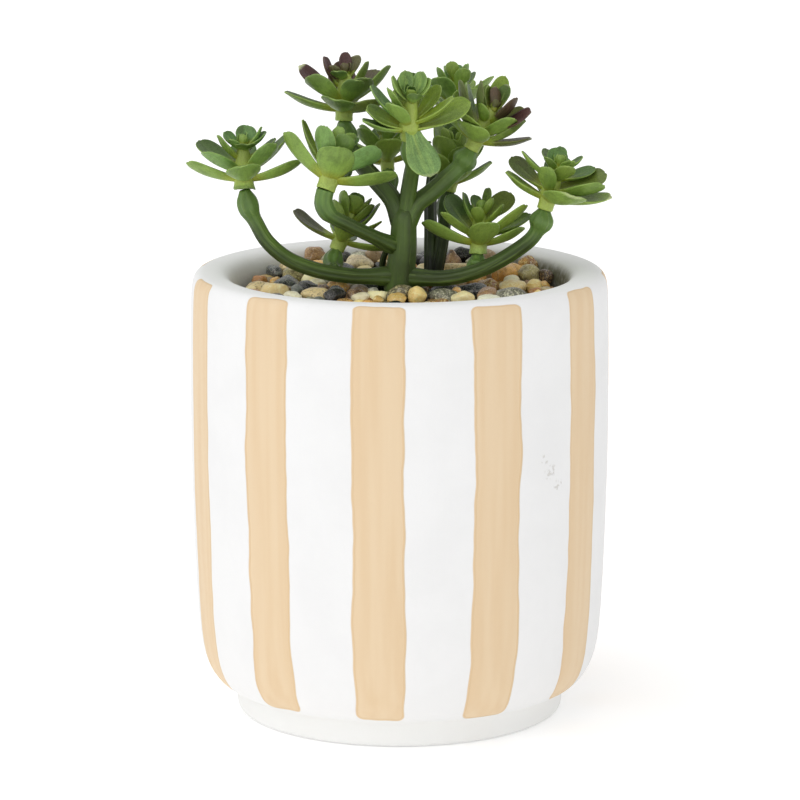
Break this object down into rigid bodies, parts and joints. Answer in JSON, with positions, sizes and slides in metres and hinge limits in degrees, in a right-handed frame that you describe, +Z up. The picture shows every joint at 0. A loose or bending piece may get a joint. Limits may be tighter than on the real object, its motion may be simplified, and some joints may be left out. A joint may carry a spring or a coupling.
{
  "type": "potted artificial succulent",
  "caption": "Small branched artificial succulent with leafy rosettes on ribbed stems, standing in pebbles in a round cast pot with painted vertical stripes.",
  "frame": {"origin": "centre of the pot's foot, on the surface it stands on", "axes": "+Z up along the pot's axis, -Y towards the front, +X to the right seen from the front"},
  "size_m": [0.104, 0.104, 0.1633],
  "materials": {
    "pot_white": "matt, with painted apricot stripes",
    "foam": "dull, hidden under the pebbles",
    "pebble": "natural mixed gravel, polished by wear",
    "stem_green": "ribbed moulded plastic",
    "leaf_green": "satin moulded plastic with yellow-green roots",
    "leaf_purple": "satin moulded plastic, green with dark purple ends"
  },
  "bodies": {
    "root": {"pot": "pot_white", "foam_plug": "foam", "pebble_bed": "pebble", "stem_front": "stem_green", "stem_back": "stem_green", "rosette_far_left": "leaf_green", "rosette_far_right": "leaf_green", "rosette_mid_left": "leaf_green", "rosette_low_left": "leaf_green", "rosette_low_right": "leaf_green", "rosette_top_left": "leaf_purple", "rosette_top_centre": "leaf_green", "rosette_top_right": "leaf_purple", "rosette_top_back": "leaf_green", "rosette_inner_back": "leaf_green", "rosette_right_back": "leaf_green"}
  },
  "joints": []
}
